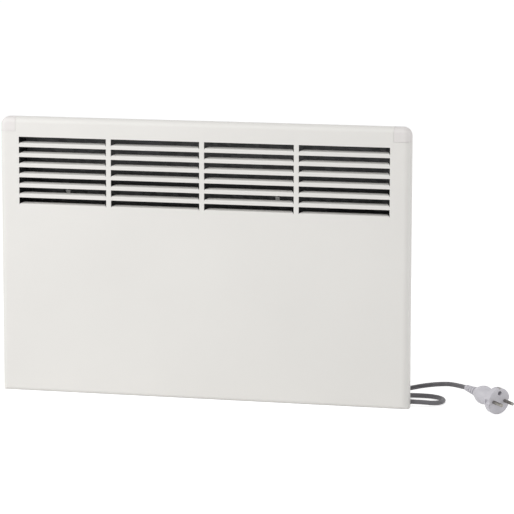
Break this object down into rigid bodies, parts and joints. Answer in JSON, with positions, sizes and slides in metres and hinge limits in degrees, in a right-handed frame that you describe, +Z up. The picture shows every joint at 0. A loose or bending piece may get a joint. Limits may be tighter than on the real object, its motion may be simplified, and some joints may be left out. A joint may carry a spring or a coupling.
{
  "type": "panel convector heater",
  "caption": "Flat electric convector heater with a louvred front panel, shallow rear casing, end thermostat and switch, wall rail with turn locks, and a mains lead with a round plug.",
  "frame": {"origin": "under the middle of the heater on the surface that its lower edge stands on, halfway between the panel's front face and the wall", "axes": "+X to the right along the panel, seen from the front; +Y back towards the wall; +Z up"},
  "size_m": [0.7323, 0.2046, 0.389],
  "materials": {
    "panel_enamel": "satin powder coat, very pale warm grey-white",
    "casing_enamel": "satin powder coat, a shade plainer than the panel",
    "cap_plastic": "fine moulded satin, matched to the enamel",
    "zinc_steel": "zinc-coated sheet, dull grey with a soft spangle",
    "guide_steel": "zinc-coated sheet, heat-darkened to a dull dark grey",
    "screw_steel": "bright zinc-plated steel",
    "clip_steel": "bright spring steel",
    "fin_aluminium": "bare extruded aluminium",
    "sheath_steel": "heat-tinted stainless tube",
    "ceramic": "unglazed white ceramic",
    "terminal_brass": "nickel-free brass",
    "control_plastic": "satin moulded plastic",
    "dial_plastic": "satin-gloss moulded plastic",
    "rocker_plastic": "gloss moulded plastic",
    "switch_plastic": "black moulded plastic",
    "lens_amber": "clear tinted lens, unlit",
    "block_plastic": "natural nylon",
    "wire_brown": "smooth insulation",
    "wire_blue": "smooth insulation",
    "wire_earth": "smooth insulation",
    "cord_grey": "soft satin sheath, mid grey",
    "gland_grey": "soft moulded plastic",
    "tie_grey": "thin plastic strap",
    "plug_grey": "satin-gloss moulded plastic, pale grey",
    "pin_nickel": "nickel-plated brass",
    "pad_rubber": "soft grey rubber",
    "latch_plastic": "moulded plastic"
  },
  "bodies": {
    "heater": {"front_panel": "panel_enamel", "corner_cap_left": "cap_plastic", "corner_cap_right": "cap_plastic", "rear_casing": "casing_enamel", "casing_screws": "screw_steel", "wall_pads": "pad_rubber", "rear_baffle": "guide_steel", "baffle_spacers": "ceramic", "baffle_screws": "screw_steel", "air_guide": "guide_steel", "guide_clips": "clip_steel", "bay_partition": "guide_steel", "element_profile": "fin_aluminium", "element_tube": "sheath_steel", "element_insulators": "ceramic", "element_terminals": "screw_steel", "element_stand_left": "guide_steel", "element_stand_right": "guide_steel", "thermal_cutout": "switch_plastic", "cutout_strap": "clip_steel", "control_plate": "control_plastic", "thermostat_body": "switch_plastic", "switch_body": "switch_plastic", "indicator_lens": "lens_amber", "terminal_block": "block_plastic", "terminal_screws": "terminal_brass", "element_live_wire": "wire_brown", "element_return_wire": "wire_blue", "thermostat_wire": "wire_brown", "earth_wire": "wire_earth", "earth_screw": "terminal_brass", "cord_clamp": "block_plastic", "clamp_screw": "screw_steel", "cord_inner": "cord_grey", "cord_gland": "gland_grey", "cord_lead": "cord_grey", "cord_coil": "cord_grey", "cord_tail": "cord_grey", "cord_tie": "tie_grey", "plug_body": "plug_grey", "plug_pins": "pin_nickel", "plug_earth_clips": "pin_nickel", "wall_rail": "zinc_steel", "latch_pins": "screw_steel"},
    "dial": {"thermostat_dial": "dial_plastic", "thermostat_spindle": "control_plastic"},
    "rocker": {"switch_rocker": "rocker_plastic"},
    "latch_left_turn": {"latch_left": "latch_plastic"},
    "latch_right_turn": {"latch_right": "latch_plastic"}
  },
  "joints": [
    {"name": "dial_turn", "type": "hinge", "parent": "heater", "child": "dial", "pos_m": [0.2789, 0, 0.18], "axis": [-1, 0, 0], "range_deg": [0, 270]},
    {"name": "rocker_tilt", "type": "hinge", "parent": "heater", "child": "rocker", "pos_m": [0.277, 0, 0.138], "axis": [0, -1, 0], "range_deg": [0, 14]},
    {"name": "latch_left_open", "type": "hinge", "parent": "heater", "child": "latch_left_turn", "pos_m": [-0.15, 0.03375, 0.3363], "axis": [0, 0, -1], "range_deg": [0, 90]},
    {"name": "latch_right_open", "type": "hinge", "parent": "heater", "child": "latch_right_turn", "pos_m": [0.15, 0.03375, 0.3363], "axis": [0, 0, 1], "range_deg": [0, 90]}
  ]
}
